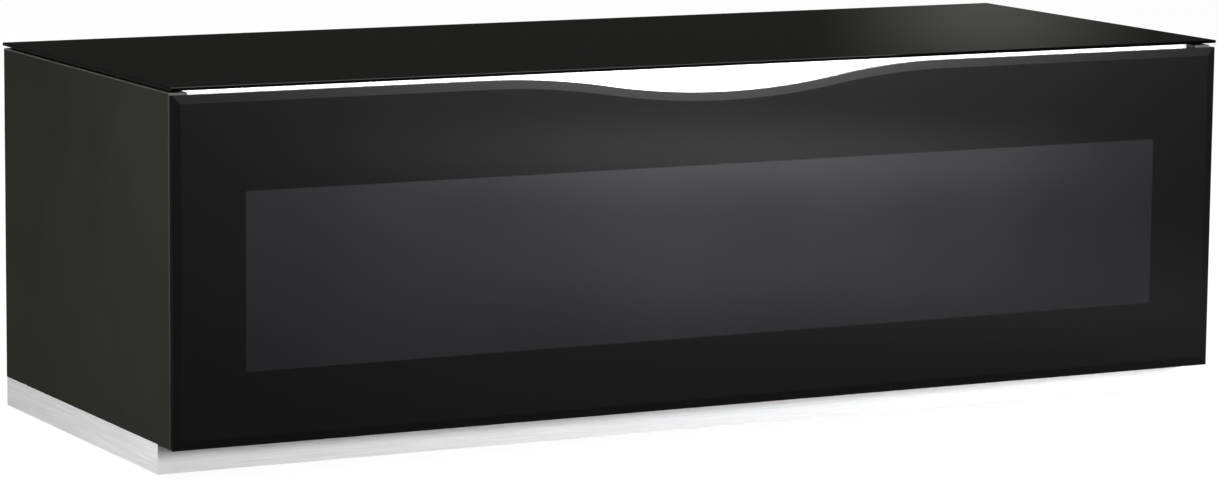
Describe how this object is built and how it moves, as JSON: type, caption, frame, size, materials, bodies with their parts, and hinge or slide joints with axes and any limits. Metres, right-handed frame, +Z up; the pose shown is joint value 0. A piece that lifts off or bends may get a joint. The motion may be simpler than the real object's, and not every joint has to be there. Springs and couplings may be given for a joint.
{
  "type": "media cabinet",
  "caption": "Low wide media cabinet on a set-back metal plinth, with a glass cover and a smoked glass flap that drops forward on bottom hinges and braked stays.",
  "frame": {"origin": "middle of the cabinet's footprint, on the floor it stands on", "axes": "+Z up, +X along the width towards the right-hand end as seen from the front, the glass flap faces -Y"},
  "size_m": [1.1, 0.42, 0.35],
  "materials": {
    "lacquered_board": "satin black lacquer on fibreboard",
    "back_board": "matt black faced hardboard",
    "cover_glass": "polished black back-painted toughened glass",
    "flap_glass": "polished smoked toughened glass with a black printed border",
    "plinth_aluminium": "fine brushed, clear anodised",
    "rail_aluminium": "satin clear anodised",
    "nickelled_steel": "satin nickel plated steel",
    "zinc_fitting": "bright zinc plated",
    "moulded_plastic": "fine textured black moulding",
    "white_acetal": "smooth white moulding",
    "clear_silicone": "clear silicone pads",
    "raw_wood": "bare planed wood"
  },
  "bodies": {
    "cabinet": {"side_panel_left": "lacquered_board", "side_panel_right": "lacquered_board", "bottom_panel": "lacquered_board", "top_panel": "lacquered_board", "centre_divider": "lacquered_board", "shelf_left": "lacquered_board", "shelf_right": "lacquered_board", "back_panel": "back_board", "cable_grommet_left": "moulded_plastic", "cable_grommet_right": "moulded_plastic", "front_rail": "rail_aluminium", "top_glass": "cover_glass", "glass_pads": "clear_silicone", "plinth_front": "plinth_aluminium", "plinth_back": "plinth_aluminium", "plinth_left": "plinth_aluminium", "plinth_right": "plinth_aluminium", "plinth_blocks": "raw_wood", "plinth_stretcher": "raw_wood", "floor_glides": "moulded_plastic", "hinge_leaf_fixed_left": "nickelled_steel", "hinge_leaf_fixed_centre": "nickelled_steel", "hinge_leaf_fixed_right": "nickelled_steel", "hinge_pin_left": "nickelled_steel", "hinge_pin_centre": "nickelled_steel", "hinge_pin_right": "nickelled_steel", "stay_track_left": "rail_aluminium", "stay_track_right": "rail_aluminium", "magnet_catch_left": "moulded_plastic", "magnet_catch_right": "moulded_plastic", "door_buffers": "clear_silicone", "shelf_pins": "nickelled_steel", "dowels": "raw_wood", "cam_housings": "zinc_fitting", "cam_bolts": "zinc_fitting", "back_screws": "zinc_fitting", "hinge_screws": "zinc_fitting", "rail_screws": "zinc_fitting", "track_screws": "zinc_fitting", "frame_bolts": "zinc_fitting"},
    "flap": {"door_glass": "flap_glass", "hinge_leaf_door_left": "nickelled_steel", "hinge_leaf_door_centre": "nickelled_steel", "hinge_leaf_door_right": "nickelled_steel", "stay_bracket_left": "nickelled_steel", "stay_bracket_right": "nickelled_steel", "strike_plate_left": "nickelled_steel", "strike_plate_right": "nickelled_steel"},
    "arm_left": {"stay_arm_left": "nickelled_steel"},
    "brake_left": {"stay_block_left": "white_acetal"},
    "arm_right": {"stay_arm_right": "nickelled_steel"},
    "brake_right": {"stay_block_right": "white_acetal"}
  },
  "joints": [
    {"name": "flap_hinge", "type": "hinge", "parent": "cabinet", "child": "flap", "pos_m": [0, -0.2, 0.0305], "axis": [1, 0, 0], "range_deg": [0, 90]},
    {"name": "stay_arm_left_pivot", "type": "hinge", "parent": "flap", "child": "arm_left", "pos_m": [-0.5195, -0.15896, 0.14326], "axis": [1, 0, 0], "range_deg": [-180, 0]},
    {"name": "brake_block_left_pivot", "type": "hinge", "parent": "arm_left", "child": "brake_left", "pos_m": [-0.5195, -0.16733, 0.26297], "axis": [1, 0, 0], "range_deg": [0, 90]},
    {"name": "stay_arm_right_pivot", "type": "hinge", "parent": "flap", "child": "arm_right", "pos_m": [0.5195, -0.15896, 0.14326], "axis": [1, 0, 0], "range_deg": [-180, 0]},
    {"name": "brake_block_right_pivot", "type": "hinge", "parent": "arm_right", "child": "brake_right", "pos_m": [0.5195, -0.16733, 0.26297], "axis": [1, 0, 0], "range_deg": [0, 90]}
  ],
  "couplings": [
    {"joint": "stay_arm_left_pivot", "follows": "flap_hinge", "ratio": -2},
    {"joint": "brake_block_left_pivot", "follows": "flap_hinge", "ratio": 1},
    {"joint": "stay_arm_right_pivot", "follows": "flap_hinge", "ratio": -2},
    {"joint": "brake_block_right_pivot", "follows": "flap_hinge", "ratio": 1}
  ]
}
